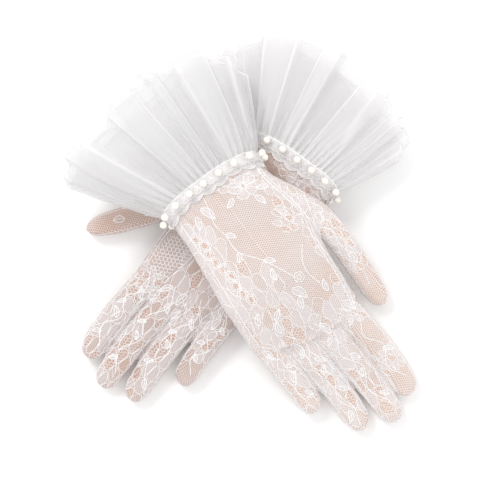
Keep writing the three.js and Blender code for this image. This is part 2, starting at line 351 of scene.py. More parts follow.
def web_valleys(u, v):
    """Depth of the soft valleys that run from between the fingers up the back of the hand."""
    depth = 0
    for low in (9.5, -8.5, -26.5):
        back = lut(WEB, low) - u
        fade = np.clip(1 - back / 30, 0, 1) * np.clip(1 + back / 4, 0, 1)
        depth = depth + 1.5 * fade ** 1.5 * np.exp(-((v - low - back * 0.06) / 3.4) ** 2)
    return depth


def wrinkles(side, points, normals):
    """Small creases in the cloth, as a shift along the normals."""
    glove = GLOVES[side]
    u, v, _ = points.T
    seed = 3.1 if side == "left" else 11.7
    rough = np.array([noise.noise(Vector((a / 14, b / 7 + seed, c / 9))) for a, b, c in points])
    fine = np.array([noise.noise(Vector((a / 4.2 + seed, b / 5.5, c / 5))) for a, b, c in points])
    wrist = np.exp(-((u - 12) / 11) ** 2)
    gather = wrist * 0.45 * np.cos(v * 0.9 + 2 * np.sin(v * 0.21 + seed))
    knuckles = 0
    for spec in glove["fingers"].values():
        root_u = lut(WEB, spec[0])
        length = spec[2] - root_u
        lane = np.exp(-((v - spec[1]) / 8) ** 4)
        for place, size in ((0.40, 0.3), (0.46, 0.35), (0.74, 0.22)):
            knuckles = knuckles + size * lane * np.exp(-((u - root_u - place * length) / 1.3) ** 2)
    up = np.clip(normals[:, 2], 0, 1)
    on_hand = (u < lut(WEB, v) + 2)
    shift = 0.32 * rough + 0.13 * fine + gather - knuckles * up - web_valleys(u, v) * up * on_hand
    lowest = points[:, 2] + shift * normals[:, 2]
    shift = np.where(lowest < 0.1, 0, shift)
    return points + normals * shift[:, None]


def region_names(side, points):
    """Which cloth piece each point belongs to."""
    glove = GLOVES[side]
    u, v, w = np.asarray(points).T
    edge = lut(glove["thumb_edge"], u)
    names = np.where(w > lut(glove["floor"], u) + lut(HAND_DEPTH, u) / 2, "back", "palm").astype(object)
    beyond = u > lut(WEB, v) + 0.4
    for name, (low, high) in LANES.items():
        in_lane = beyond & (v > low - 60 * (name == "little")) & (v <= high + 60 * (name == "index"))
        names[in_lane] = name
    # further out the fingers spread, so their own centre lines decide
    far = u > 121
    spread = {}
    for name, finger in glove["fingers"].items():
        root_u = lut(WEB, finger[0])
        t = (u - root_u) / (finger[2] - root_u)
        spread[name] = np.where(t < 1.08, np.abs(v - centre_line(finger, t)), 99)
    order = list(spread)
    nearest = np.array([spread[n] for n in order]).argmin(0)
    for k, name in enumerate(order):
        names[far & (nearest == k)] = name
    if side == "right":
        seam = np.interp(u, [46, 52, 60, 68, 76], [46, 40, 38, 36.5, 33.4])
        thumb = (v > seam) & (u > 47) & (u < 132)
    else:
        thumb = (v > edge + 0.6) & (u > 48)
    names[thumb] = "thumb"
    return names


def net_coordinates(side, points):
    """Flattened cloth coordinates in millimetres, for the weave."""
    glove = GLOVES[side]
    u, v, w = points.T
    middle = lut(glove["floor"], u) + lut(HAND_DEPTH, u) / 2
    drop = np.abs(w - middle)
    out = v + np.sign(v) * (12 - drop) * 0.8
    return np.stack([u + 0.12 * np.sin(v * 0.3), out], -1)


# ---------------------------------------------------------------- materials
def add(tree, kind, **settings):
    """A new shader node with its settings."""
    made = tree.nodes.new("ShaderNode" + kind)
    for key, value in settings.items():
        setattr(made, key, value)
    return made


def feed(tree, socket, value):
    """Links a socket to another node's output, or gives it a plain value."""
    if hasattr(value, "is_linked"):
        tree.links.new(value, socket)
    else:
        socket.default_value = value


def math_node(tree, operation, *values, clamp=False):
    made = add(tree, "Math", operation=operation, use_clamp=clamp)
    for socket, value in zip(made.inputs, values):
        feed(tree, socket, value)
    return made.outputs[0]


def vector_node(tree, operation, *values):
    made = add(tree, "VectorMath", operation=operation)
    for socket, value in zip(made.inputs, values):
        feed(tree, socket, value)
    return made.outputs["Value" if operation in ("LENGTH", "DOT_PRODUCT") else "Vector"]


def mix_node(tree, kind, amount, first, second):
    """A mix that goes from first, at an amount of 0, to second, at 1."""
    made = add(tree, "Mix", data_type=kind)
    start = {"FLOAT": 2, "VECTOR": 4, "RGBA": 6}[kind]
    for number, value in ((0, amount), (start, first), (start + 1, second)):
        feed(tree, made.inputs[number], value)
    return made.outputs[start // 2 - 1]


def clouds_node(tree, scale, detail, low_end, high_end):
    """Soft clouds of two colours, each given with its place on the ramp."""
    clouds = add(tree, "TexNoise")
    clouds.inputs["Scale"].default_value = scale
    clouds.inputs["Detail"].default_value = detail
    feed(tree, clouds.inputs["Vector"], add(tree, "TexCoord").outputs["Object"])
    ramp = add(tree, "ValToRGB")
    for element, (place, color) in zip(ramp.color_ramp.elements, (low_end, high_end)):
        element.position = place
        element.color = (*color, 1)
    feed(tree, ramp.inputs["Fac"], clouds.outputs["Fac"])
    return ramp.outputs["Color"]


def raise_relief(tree, shader, height, strength, distance):
    raised = add(tree, "Bump")
    raised.inputs["Strength"].default_value = strength
    raised.inputs["Distance"].default_value = distance
    feed(tree, raised.inputs["Height"], height)
    feed(tree, shader.inputs["Normal"], raised.outputs[0])


def new_material(name, **settings):
    """A material whose shader has the named settings, such as sheen_weight."""
    material = bpy.data.materials.new(name)
    material.use_nodes = True
    tree = material.node_tree
    tree.nodes.clear()
    shader = add(tree, "BsdfPrincipled")
    for key, value in settings.items():
        shader.inputs[key.replace("_", " ").title()].default_value = value
    feed(tree, add(tree, "OutputMaterial").inputs[0], shader.outputs[0])
    return material, tree, shader


def hexagon_edges(tree, pitch):
    """Distance to the nearest thread of a hexagon net, from 0 on the thread to 0.5 in a hole."""
    scaled = add(tree, "VectorMath", operation="SCALE")
    feed(tree, scaled.inputs[0], add(tree, "UVMap", uv_map="cloth").outputs[0])
    scaled.inputs["Scale"].default_value = 1 / pitch
    shifted = vector_node(tree, "ADD", scaled.outputs[0], (500.0, 500.0, 0.0))
    cell = (1.0, ROOT_THREE, 1.0)
    half = (0.5, ROOT_THREE / 2, 0.5)
    flat = (1.0, 1.0, 0.0)
    offsets = []
    for start in (shifted, vector_node(tree, "SUBTRACT", shifted, half)):
        offset = vector_node(tree, "SUBTRACT", vector_node(tree, "MODULO", start, cell), half)
        offsets.append(vector_node(tree, "MULTIPLY", offset, flat))
    first, second = offsets
    closer = math_node(tree, "LESS_THAN", *(vector_node(tree, "LENGTH", offset) for offset in offsets))
    near = vector_node(tree, "ABSOLUTE", mix_node(tree, "VECTOR", closer, second, first))
    slanted = vector_node(tree, "DOT_PRODUCT", near, (0.5, ROOT_THREE / 2, 0.0))
    split = add(tree, "SeparateXYZ")
    feed(tree, split.inputs[0], near)
    return math_node(tree, "SUBTRACT", 0.5, math_node(tree, "MAXIMUM", slanted, split.outputs[0]))


def net_material(name, color, pitch, thread, hole, dense_color, bump=0.25, warm=None, light=None):
    """A hexagon net. The vertex value "dense" fills it in above 0, as solid clothwork does,
    and below 0, where a warm tint is given, paints it a darker orange-brown: painted shade for the dim inside
    seen through an open window."""
    material, tree, shader = new_material(name, roughness=0.8, sheen_weight=0.3, sheen_roughness=0.5)
    distance = hexagon_edges(tree, pitch)
    fade = math_node(tree, "DIVIDE", distance, thread, clamp=True)
    threads = math_node(tree, "SUBTRACT", 1.0, fade, clamp=True)
    solid = math_node(tree, "MULTIPLY_ADD", threads, 0.9 - hole, hole)
    dense = add(tree, "Attribute", attribute_name="dense").outputs["Fac"]
    amount = math_node(tree, "MULTIPLY", dense, 1.0, clamp=True)
    filled = math_node(tree, "MULTIPLY_ADD", threads, 0.95 - DENSE_ALPHA, DENSE_ALPHA)
    feed(tree, shader.inputs["Alpha"], mix_node(tree, "FLOAT", amount, solid, filled))
    plain = (*color, 1)
    if warm:
        opened = math_node(tree, "MULTIPLY", dense, -1.0, clamp=True)
        clouds = clouds_node(tree, 32.0, 1.0, (0.42, color), (0.68, warm))
        # painted shade: an open window is painted a darker orange-brown, the dim inside of the glove seen
        # through it
        shaded_window = (0.98 * warm[0], 0.76 * warm[1], 0.62 * warm[2], 1)
        plain = mix_node(tree, "RGBA", opened, clouds, shaded_window)
    paint = mix_node(tree, "RGBA", amount, plain, (*dense_color, 1))
    if light:
        paint = mix_node(tree, "RGBA", math_node(tree, "MULTIPLY", threads, 0.75), paint, (*light, 1))
    feed(tree, shader.inputs["Base Color"], paint)
    raise_relief(tree, shader, threads, bump, 0.0002)
    return material


def yarn_material(name, color):
    material, tree, shader = new_material(name, base_color=(*color, 1), roughness=0.6, sheen_weight=0.4)
    twist = add(tree, "TexWave", wave_type="BANDS", bands_direction="DIAGONAL")
    twist.inputs["Scale"].default_value = 900.0
    twist.inputs["Distortion"].default_value = 1.5
    feed(tree, twist.inputs["Vector"], add(tree, "TexCoord").outputs["Object"])
    raise_relief(tree, shader, twist.outputs["Fac"], 0.35, 0.0001)
    return material


def pearl_material():
    material, tree, shader = new_material("pearl", roughness=0.24, coat_weight=0.7, coat_roughness=0.12,
                                          sheen_weight=0.3)
    lustre = clouds_node(tree, 380.0, 2.0, (0.3, (0.86, 0.79, 0.70)), (0.7, (0.95, 0.91, 0.86)))
    feed(tree, shader.inputs["Base Color"], lustre)
    return material


DENSE_ALPHA = 0.8
BLUSH = (0.81, 0.685, 0.63)
# painted shade: the darker blush and clothwork copies below stand for the lower, left glove lying in shade
SHADED_BLUSH = (0.64, 0.50, 0.45)
CLOTHWORK = (0.65, 0.612, 0.628)
SHADED_CLOTHWORK = (0.57, 0.52, 0.535)
lace_net = net_material("blush lace net", BLUSH, 1.5, 0.3, 0.42, CLOTHWORK,
                        warm=(0.80, 0.60, 0.50), light=(0.81, 0.75, 0.73))
# painted shade: the left glove's lace net is a darker copy of the one above, its threads and open windows
# darker too
shaded_net = net_material("shaded blush lace net", SHADED_BLUSH, 1.5, 0.3, 0.42, SHADED_CLOTHWORK,
                        warm=(0.62, 0.38, 0.28), light=(0.72, 0.64, 0.62))
# painted shade: the palm panels, lying under the back panel, take the darker blush
palm_net = net_material("blush palm net", SHADED_BLUSH, 1.5, 0.3, 0.45, CLOTHWORK, light=(0.76, 0.69, 0.67))
tape_net = net_material("lace tape", (0.82, 0.80, 0.80), 1.1, 0.3, 0.3, (0.86, 0.85, 0.855), bump=0.5)
tulle_net = {
    "left": net_material("left tulle", (0.78, 0.765, 0.77), 0.55, 0.07, 0.24, (0.86, 0.852, 0.86), bump=0.05),
    "right": net_material("right tulle", (0.70, 0.69, 0.695), 0.55, 0.07, 0.27, (0.80, 0.792, 0.80),
                          bump=0.05),
}
cord_yarn = yarn_material("white cord", (0.87, 0.86, 0.862))
seam_yarn = yarn_material("seam thread", (0.84, 0.82, 0.825))
pearl_lustre = pearl_material()


# ---------------------------------------------------------------- lace drawing, in glove coordinates
def oval(along, across, count):
    t = np.linspace(0, 2 * math.pi, count)
    return np.stack([along * np.cos(t), across * np.sin(t)], -1)


def turned(points, place, angle):
    c, s = math.cos(angle), math.sin(angle)
    p = np.asarray(points, float)
    return np.stack([place[0] + p[:, 0] * c - p[:, 1] * s, place[1] + p[:, 0] * s + p[:, 1] * c], -1)


class Drawing:
    """Cords and filled shapes of one glove's lace."""

    def __init__(self):
        self.cords = []
        self.fills = []

    def cord(self, points, radius=0.3):
        self.cords.append((np.asarray(points, float), radius))

    def fill(self, points, amount=1.0):
        self.fills.append((np.asarray(points, float), amount))

    def leaves(self, rows):
        for row in rows:
            self.leaf(*row)

    def slim_leaves(self, rows):
        for place, angle, size in rows:
            self.leaf(place, angle, size, size * 0.4, 0.7)

    def leaf(self, place, angle, length, width, filled):
        t = np.linspace(0, 1, 22)
        half = width / 2 * np.sin(math.pi * t ** 0.8) ** 0.9
        bow = 0.08 * length * np.sin(math.pi * t)
        upper = np.stack([t * length, half + bow], -1)
        lower = np.stack([t * length, bow - half], -1)
        outline = turned(np.vstack([upper, lower[::-1]]), place, angle)
        self.cord(outline, 0.32)
        if filled:
            self.fill(outline, filled)
        self.cord(turned(np.stack([t * length, bow], -1), place, angle), 0.22)

    def petal_flower(self, place, radius, angle, filled, petals=5, eye=0.24):
        t = np.linspace(0, 2 * math.pi, 20)
        for k in range(petals):
            odd = math.sin(7.3 * k + 11.7 * angle + radius)
            turn = angle + 2 * math.pi * k / petals + 0.13 * odd
            reach = radius * (1 + 0.16 * math.sin(3.9 * k + 5 * angle))
            middle = reach * (0.5 + eye / 2)
            long, wide = reach * (0.5 - eye / 2), radius * math.sin(math.pi / petals) * (0.72 + 0.1 * odd)
            shape = np.stack([middle + long * np.cos(t) * (1 + 0.12 * np.cos(2 * t)),
                              wide * np.sin(t) * (1 + 0.35 * np.cos(t)) * (1 + 0.06 * np.sin(5 * t))], -1)
            self.cord(turned(shape, place, turn), 0.27)
            self.fill(turned(shape, place, turn), filled)
            for lean in (-0.25, 0.25):
                run = np.linspace(reach * eye, reach * 0.72, 6)
                vein = np.stack([run, lean * np.linspace(0, wide, 6)], -1)
                self.cord(turned(vein, place, turn), 0.14)
        self.ring(place, radius * eye * 0.8, 0.3, 20)

    def ring(self, place, radius, thick=0.26, count=14):
        self.cord(turned(oval(radius, radius, count), place, 0), thick)

    def vine(self, points, radius=0.3, double=0.0):
        line = catmull([(a, b, 0) for a, b in points], 10)[:, :2]
        if not double:
            self.cord(line, radius)
            return
        step = np.gradient(line, axis=0)
        side = np.stack([-step[:, 1], step[:, 0]], -1)
        side /= np.linalg.norm(side, axis=1)[:, None]
        self.cord(line + side * double / 2, radius)
        self.cord(line - side * double / 2, radius)
        for k in range(0, len(line), 3):
            self.cord([line[k] - side[k] * double / 2, line[k] + side[k] * double / 2], 0.18)

    def cell_lace(self, zone, spacing, rng, stretch=1.0, lean=0.0, solid=0.5, gap=0.4, thick=0.2):
        """Irregular petal-like cells packed into a zone, each with its own corded outline."""
        shape = np.asarray(zone, float)
        low, high = shape.min(0) - spacing, shape.max(0) + spacing
        turn = np.array([[math.cos(lean), math.sin(lean)], [-math.sin(lean), math.cos(lean)]])
        squeeze = np.diag([1 / stretch, stretch])
        seeds = []
        for _ in range(2600):
            spot = rng.uniform(low, high)
            place = squeeze @ turn @ spot
            if all(np.hypot(*(place - other)) > spacing * 0.8 for other in seeds):
                seeds.append(place)
        seeds = np.array(seeds)
        back = np.linalg.inv(squeeze @ turn)
        for seed in seeds:
            reach = seeds[np.hypot(*(seeds - seed).T) < spacing * 3.2]
            cell = seed + spacing * 1.6 * np.array([(1, 1), (-1, 1), (-1, -1), (1, -1)])
            for other in reach:
                if np.hypot(*(other - seed)) > 1e-6:
                    cell = nearer_half(cell, seed, other)
            cell = cell @ back.T
            middle = cell.mean(0)
            if not inside(middle[None], shape)[0]:
                continue
            size = np.hypot(*(cell - middle).T).mean()
            cell = middle + (cell - middle) * max(0.3, 1 - gap / size)
            for cut in (0.2, 0.25):
                after = np.roll(cell, -1, axis=0)
                corners = [cell * (1 - cut) + after * cut, cell * cut + after * (1 - cut)]
                cell = np.stack(corners, 1).reshape(-1, 2)
            closed = np.vstack([cell, cell[:1]])
            self.cord(closed, thick)
            kind = rng.random()
            if kind < solid:
                self.fill(cell, rng.uniform(0.4, 0.9))
                long = cell[np.hypot(*(cell - middle).T).argmax()] - middle
                for side in (-0.3, 0.3) if kind < solid * 0.2 else ():
                    tip = middle + long * 0.75 + np.array([-long[1], long[0]]) * side
                    self.cord([middle - long * 0.4, middle * 0.6 + tip * 0.4, tip], 0.13)
            elif kind < solid + 0.28:
                self.fill(cell, -rng.uniform(0.6, 1.0))
                self.honeycomb(cell, 2.1, 0.13)

    def honeycomb(self, outline, cell, thick=0.2):
        """Open hexagon cells inside an outline."""
        shape = np.asarray(outline, float)
        low, high = shape.min(0), shape.max(0)
        corner = cell / ROOT_THREE
        row = 0
        y = low[1]
        while y < high[1]:
            x = low[0] + (row % 2) * cell / 2
            while x < high[0]:
                if inside(np.array([[x, y]]), shape)[0]:
                    turns = (0, math.pi / 3, 2 * math.pi / 3, math.pi)
                    self.cord([(x + corner * math.sin(a), y + corner * math.cos(a)) for a in turns], thick)
                x += cell
            y += cell * ROOT_THREE / 2
            row += 1


def nearer_half(cell, seed, other):
    """The part of a cell that lies nearer seed than other."""
    middle, away = (seed + other) / 2, other - seed
    kept = []
    for p, q in zip(cell, np.roll(cell, -1, axis=0)):
        dp, dq = (p - middle) @ away, (q - middle) @ away
        if dp <= 0:
            kept.append(p)
        if dp * dq < 0:
            kept.append(p + (q - p) * dp / (dp - dq))
    return np.array(kept) if len(kept) >= 3 else cell


def inside(points, shape):
    """Which points lie inside a closed outline."""
    x, y = points.T
    hit = np.zeros(len(points), bool)
    for (x0, y0), (x1, y1) in zip(shape, np.roll(shape, -1, axis=0)):
        if y0 == y1:
            continue
        crosses = (y0 > y) != (y1 > y)
        hit ^= crosses & (x < (x1 - x0) * (y - y0) / (y1 - y0) + x0)
    return hit


def finger_line(side, name):
    """Centre of a finger's back at shares of its length."""
    finger = GLOVES[side]["fingers"][name]
    root, _, tip_u, _, width = finger
    root_u = float(lut(WEB, root))

    def at(t, off=0.0):
        return (root_u + t * (tip_u - root_u), centre_line(finger, t) + off * width / 2)

    return at


def finger_zone(at, start, end, wide=1.15):
    shares = np.linspace(start, end, 9)
    return [at(t, wide) for t in shares] + [at(t, -wide) for t in shares[::-1]]


def finger_lace(drawing, side, name, dense, rng):
    """Packed petal cells down the back of a finger, with a vine and a few leaves over them."""
    at = finger_line(side, name)
    lean = math.atan2(at(0.9)[1] - at(0.0)[1], at(0.9)[0] - at(0.0)[0])
    if dense > 0.3:
        zone = finger_zone(at, 0.03, min(1.0, dense + 0.12))
        drawing.cell_lace(zone, 7.4, rng, 1.3, lean, 0.42 + 0.2 * dense)
    swing = 0.35 if rng.random() < 0.5 else -0.35
    drawing.vine([at(t, swing * (-1) ** k) for k, t in enumerate(np.linspace(-0.1, 0.82, 6))], 0.28)
    leaves = int(2 + dense * 3)
    for k in range(leaves):
        t = 0.05 + 0.85 * (k + 0.3 * rng.random()) / leaves
        flip = 1 if k % 2 else -1
        angle = flip * (0.5 + 0.5 * rng.random()) + (math.pi if k % 3 == 2 else 0)
        size = 5.5 + 2.5 * rng.random()
        drawing.leaf(at(t, 0.12 * flip), angle, size, size * 0.4, 0.75 if k % 2 else 0.5)
    for flip in (-1, 1):
        edge = [at(t, flip * (0.8 + 0.05 * math.sin(t * 60))) for t in np.linspace(0.02, 0.95, 60)]
        drawing.cord(edge, 0.2)
        side_strip = [at(t, flip * 0.82) for t in np.linspace(0, 0.95, 9)]
        side_strip += [at(t, flip * 1.3) for t in np.linspace(1.02, 0, 9)]
        drawing.fill(side_strip, 0.6)
    drawing.fill([at(0.93, -1.2), at(0.975, 0), at(0.93, 1.2), at(1.1, 1.2), at(1.1, -1.2)], 0.4)


def right_lace(rng):
    d = Drawing()
    # packed cells over the little finger's half, the knuckles and the fingers' roots
    d.cell_lace([(8, -36), (10, -22), (30, -17), (48, -16), (62, -8), (72, -2), (84, -6), (92, 2), (98, 14),
                 (104, 30), (119, 30), (118, -8), (104, -46), (60, -46)], 8.0, rng, 1.3, -0.25, 0.58)
    # smaller patches round the plain middle of the back
    d.cell_lace([(3, 0), (3, 34), (16, 34), (22, 24), (18, 12), (12, 2)], 5.4, rng, 1.2, 1.2, 0.5)
    d.cell_lace([(18, 26), (30, 22), (44, 24), (60, 28), (78, 27), (98, 24), (98, 34), (60, 46), (18, 34)],
                5.6, rng, 1.25, 0.1, 0.45)
    d.cell_lace([(38, 20), (48, 14), (60, 20), (56, 28), (44, 28)], 5.0, rng, 1.3, 0.5, 0.6)
    d.petal_flower((16, 15), 8.0, 0.6, 0.5)
    d.leaves((
        ((25, 17), 0.3, 8.5, 3.4, 0.5), ((22, 21), 1.0, 7.5, 3.0, 0.6), ((18, 6), -1.2, 7.5, 3.0, 0.5),
        ((11, -14), 0.3, 11, 4.6, 0.8), ((13, -19), -0.4, 9, 3.6, 0.5),
    ))
    d.vine([(5, -8), (14, -10), (24, -13), (34, -12), (46, -12), (58, -4), (70, 2), (80, 6)], 0.28)
    d.leaves((
        ((33, -12), 0.7, 7, 3, 0.6), ((46, -12), -0.6, 7, 3, 0.5), ((60, -3), 0.9, 7.5, 3.2, 0.6),
        ((84, 0), 0.4, 11, 5.6, 0.7),
    ))
    d.ring((81, 8), 3.2, 0.28)
    d.ring((81, 8), 1.5)
    d.vine([(66, 22), (74, 16), (82, 14), (92, 16)], 0.28)
    # chain of large open cells down the little finger side
    d.fill([(8, -34), (10, -25), (30, -22), (60, -20), (84, -20), (96, -34), (60, -40)], 0.42)
    for k in range(9):
        t = k / 8
        place = (24 + 50 * t, -27.5 + 3 * t + 1.2 * math.sin(k * 1.7))
        corner = np.linspace(0, 2 * math.pi, 7) + 0.3 + 0.4 * math.sin(k * 2.3)
        for grow, thick in ((3.4, 0.22), (2.0, 0.2)):
            d.cord([(place[0] + grow * 1.2 * math.cos(a), place[1] + grow * math.sin(a)) for a in corner],
                   thick)
        d.fill([(place[0] + 2.3 * math.cos(a), place[1] + 1.9 * math.sin(a)) for a in corner], -1.0)
    # borders: doubled cloth along both side seams
    d.vine([(6, 30), (20, 29.5), (36, 32), (52, 34), (70, 30), (88, 29), (104, 27), (116, 24)], 0.28, 1.8)
    d.fill([(2, 28), (36, 31), (60, 33), (116, 25), (118, 30), (60, 40), (36, 37), (2, 34)], 0.45)
    d.fill([(0, -29), (40, -32), (80, -36), (104, -38), (104, -46), (0, -38)], 0.5)
    d.vine([(6, -29), (30, -30.5), (52, -32.5), (76, -35.5), (100, -38)], 0.3)
    # leaves across the knuckles
    d.slim_leaves((
        ((90, -30), 2.6, 8), ((94, -20), 2.2, 8), ((98, -2), 2.7, 9), ((99, 17), 2.9, 8),
        ((110, 20), 0.4, 10), ((112, 0), 0.2, 10), ((113, -20), 0.0, 10), ((102, -22), 2.9, 8),
        ((104, -38), 0.2, 9), ((74, -4), 2.9, 8),
    ))
    d.fill([(136, -14), (150, -15), (154, -11), (152, -6), (140, -4), (135, -8)], 1.0)
    for name, dense in (("index", 0.12), ("middle", 0.9), ("ring", 1.0), ("little", 0.95)):
        finger_lace(d, "right", name, dense, rng)
    at = finger_line("right", "index")
    d.cell_lace(finger_zone(at, -0.05, 0.12), 4.8, rng, 1.2, 0.2, 0.5)
    d.cell_lace(finger_zone(at, 0.5, 0.72, 0.9), 4.4, rng, 1.2, 0.2, 0.7)
    # thumb
    d.cell_lace([(58, 36), (58, 52), (104, 50), (100, 36), (84, 33)], 5.2, rng, 1.3, 0.1, 0.5)
    d.vine([(56, 43), (68, 41), (80, 44), (92, 40), (104, 42), (112, 40)], 0.26)
    d.leaf((88, 42), 0.0, 9, 3.8, 0.6)
    return d


def left_lace(rng):
    d = Drawing()
    d.honeycomb([(82, 10), (84, 26), (96, 28), (110, 24), (112, 14), (100, 10)], 2.6, 0.22)
    d.cell_lace([(30, -40), (34, 34), (80, 34), (84, 10), (100, 8), (119, 8), (117, -14), (104, -46)],
                7.8, rng, 1.3, -0.1, 0.55)
    d.cell_lace([(108, 10), (108, 30), (124, 30), (124, 10)], 5.0, rng, 1.2, 0.1, 0.5)
    d.vine([(60, 28), (78, 30), (96, 29), (112, 26)], 0.28, 1.8)
    d.fill([(40, 29), (80, 30), (116, 26), (118, 31), (80, 37), (40, 38)], 0.45)
    d.vine([(66, 4), (80, 7), (96, 8), (112, 10)], 0.3)
    d.petal_flower((72, 18), 8, 0.3, 0.6)
    d.slim_leaves((
        ((108, -6), 0.1, 10), ((110, 4), 0.5, 9), ((106, -32), 0.0, 9), ((82, -26), 2.9, 9),
        ((60, 22), 2.8, 9), ((76, 14), -0.5, 8), ((98, -28), -0.4, 8), ((50, -8), 3.0, 9), ((44, 10), 3.0, 9),
    ))
    d.cell_lace([(4, -36), (2, 6), (9, 12), (14, -6), (16, -36)], 4.6, rng, 1.2, 1.4, 0.6)
    for name, dense in (("index", 0.85), ("middle", 0.95), ("ring", 1.0), ("little", 0.55)):
        finger_lace(d, "left", name, dense, rng)
    d.leaf((98, 55), 0.7, 7.5, 4.2, 0.0)
    d.ring((86, 47), 1.6)
    return d


# ---------------------------------------------------------------- laying the lace on the skin
def resample(line, step):
    line = np.asarray(line, float)
    lengths = np.linalg.norm(np.diff(line, axis=0), axis=1)
    walk = np.concatenate([[0], np.cumsum(lengths)])
    if walk[-1] < 1e-6:
        return line[:1]
    count = max(2, int(math.ceil(walk[-1] / step)) + 1)
    marks = np.linspace(0, walk[-1], count)
    return np.stack([np.interp(marks, walk, line[:, k]) for k in range(line.shape[1])], -1)


def tube(points, normals, radius, flatness=0.7):
    """A thin cord along a line, flattened onto the cloth."""
    p = np.asarray(points)
    n = np.asarray(normals)
    along = np.gradient(p, axis=0)
    along /= np.maximum(np.linalg.norm(along, axis=1), 1e-9)[:, None]
    side = np.cross(along, n)
    side /= np.maximum(np.linalg.norm(side, axis=1), 1e-9)[:, None]
    up = np.cross(side, along)
    rings = []
    for k in range(5):
        a = 2 * math.pi * k / 5 + math.pi / 2
        rings.append(p + side * radius * math.cos(a) + up * radius * flatness * math.sin(a))
    return np.stack(rings, 1)


class CordPile:
    """The cords of one piece."""

    def __init__(self):
        self.verts = []
        self.faces = []
        self.count = 0

    def add(self, rings):
        rows, columns = rings.shape[:2]
        self.faces += ring_faces(rows, columns, True, self.count)
        self.faces.append(tuple(self.count + k for k in range(columns)))
        last = self.count + (rows - 1) * columns
        self.faces.append(tuple(last + k for k in reversed(range(columns))))
        self.verts.append(rings.reshape(-1, 3))
        self.count += rows * columns

    def hoop(self, line, out, radius):
        """A cord that closes on itself."""
        self.add(tube(np.vstack([line, line[:1]]), np.vstack([out, out[:1]]), radius))


def lay_cords(side, drawing, tree):
    """Drops every drawn cord onto the back of the glove and sorts the lengths by piece."""
    piles = {}
    for line, radius in drawing.cords:
        run, normals = [], []
        for u, v in resample(line, 0.85):
            hit, normal, _, _ = tree.ray_cast(Vector((u, v, 150)), DOWN)
            if hit is None or normal.z < 0.12:
                store(side, piles, run, normals, radius)
                run, normals = [], []
                continue
            run.append(np.array(hit) + np.array(normal) * radius * 0.35)
            normals.append(np.array(normal))
        store(side, piles, run, normals, radius)
    return piles


def store(side, piles, run, normals, radius):
    if len(run) < 2:
        return
    run, normals = np.array(run), np.array(normals)
    jumps = np.linalg.norm(np.diff(run, axis=0), axis=1) > 3.2
    owners = region_names(side, run)
    owners[owners == "palm"] = "back"
    start = 0
    for k in range(1, len(run) + 1):
        ended = k == len(run) or jumps[k - 1]
        if ended or owners[k] != owners[k - 1]:
            stop = k if ended else k + 1
            if stop - start >= 2:
                rings = tube(run[start:stop], normals[start:stop], radius)
                piles.setdefault(owners[start], CordPile()).add(rings)
            start = k


def surface_seam(side, piles, tree, guide, radius, owner=None):
    """A seam thread along guide points, pulled onto the nearest cloth."""
    run, normals = [], []
    for point in guide:
        hit, normal, _, _ = tree.find_nearest(Vector(point))
        if hit is not None:
            run.append(np.array(hit) + np.array(normal) * radius * 0.3)
            normals.append(np.array(normal))
    if len(run) < 3:
        return
    run, normals = np.array(run), np.array(normals)
    if owner is None:
        store(side, piles, run, normals, radius)
    else:
        piles.setdefault(owner, CordPile()).add(tube(run, normals, radius))


# ---------------------------------------------------------------- pieces
def vertex_normals(points, polygons):
    quads = np.array([p if len(p) == 4 else (p[0], p[1], p[2], p[2]) for p in polygons])
    a, b, c, d = (points[quads[:, k]] for k in range(4))
    face = np.cross(c - a, d - b)
    normals = np.zeros_like(points)
    for k in range(4):
        np.add.at(normals, quads[:, k], face)
    return normals / np.maximum(np.linalg.norm(normals, axis=1), 1e-12)[:, None]


def set_cloth_uv(mesh, uv):
    layer = mesh.uv_layers.new(name="cloth")
    loops = np.zeros(len(mesh.loops), int)
    mesh.loops.foreach_get("vertex_index", loops)
    layer.data.foreach_set("uv", np.asarray(uv, np.float32)[loops].ravel())


def set_value(mesh, name, values):
    attribute = mesh.attributes.new(name, "FLOAT", "POINT")
    attribute.data.foreach_set("value", np.asarray(values, np.float32))


def attach(obj, side, region):
    """Hangs a finished piece on its glove's hand; a finger piece or the right thumb's piece only gets its
    placement baked into its mesh.
    """
    if region in LANES:
        joint, fold, reach = joint_named(f"{side}_{region}_knuckle"), -0.001, 0.017
    elif region == "thumb" and side == "right":
        joint, fold, reach = joint_named("right_thumb_base"), 0.010, 0.022
    else:
        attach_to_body(obj, side + "_hand")
        return
    forward = Vector((0, 0, 1)).cross(Vector(joint["axis"])).normalized()
    start = Vector(joint["pos_m"]) + forward * fold
    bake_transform(obj)


def cloth_density(side, drawing, points, normals):
    """How filled the net is at each point: above 0 in clothwork, below 0 in open windows."""
    dense = np.zeros(len(points))
    upward = normals[:, 2] > 0.15
    for shape, amount in drawing.fills:
        low, high = shape.min(0) - 0.5, shape.max(0) + 0.5
        near = np.where(upward & (points[:, :2] > low).all(1) & (points[:, :2] < high).all(1))[0]
        hit = near[inside(points[near, :2], shape)]
        dense[hit] = amount if amount < 0 else np.maximum(dense[hit], amount)
    # the finger and thumb sides, where the cloth turns to face sideways, are filled denser and greyer: partly
    # the doubled side cloth, partly painted shade on the sides turned away from the light above
    on_finger = np.isin(region_names(side, points), list(LANES) + ["thumb"])
    side_cloth_and_shade = on_finger * np.exp(-((normals[:, 2] - 0.1) / 0.42) ** 2) * 0.45
    return np.where(side_cloth_and_shade > 0.1, np.maximum(dense, side_cloth_and_shade), dense)


